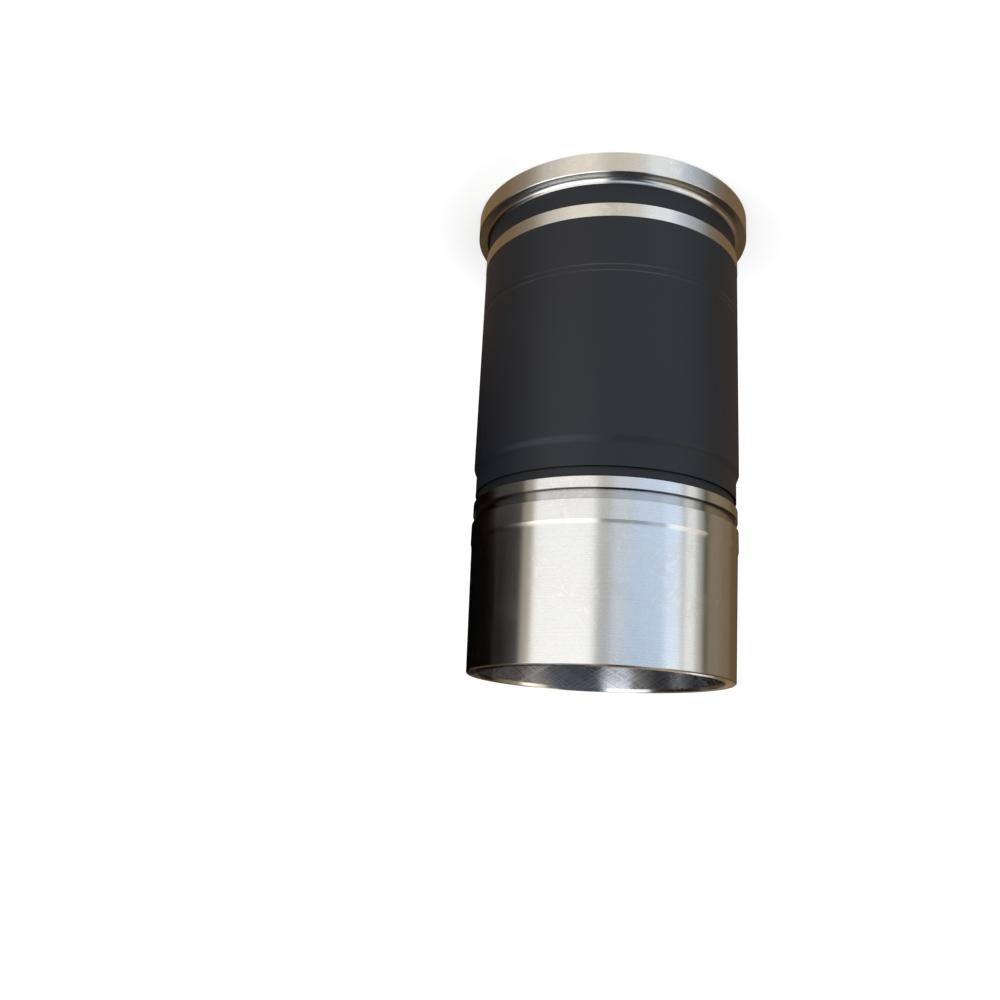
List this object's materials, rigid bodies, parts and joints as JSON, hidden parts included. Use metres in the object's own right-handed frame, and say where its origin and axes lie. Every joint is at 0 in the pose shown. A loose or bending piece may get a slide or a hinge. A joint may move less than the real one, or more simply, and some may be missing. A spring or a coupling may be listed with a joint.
{
  "type": "cylinder liner",
  "caption": "Wet cylinder liner: a hollow turned iron tube with a seat collar at the head end, bright pilot bands, seal groove and honed bore.",
  "frame": {"origin": "centre of the collar's end face, which the liner stands on", "axes": "+Z along the bore from the collar towards the plain end; X and Y are any two directions across the bore"},
  "size_m": [0.1574, 0.1574, 0.268],
  "materials": {
    "liner_iron": "fine turned collar, bands and skirt, dark phosphate coat on the neck and body, honed bore"
  },
  "bodies": {
    "root": {"cylinder_liner": "liner_iron"}
  },
  "joints": []
}
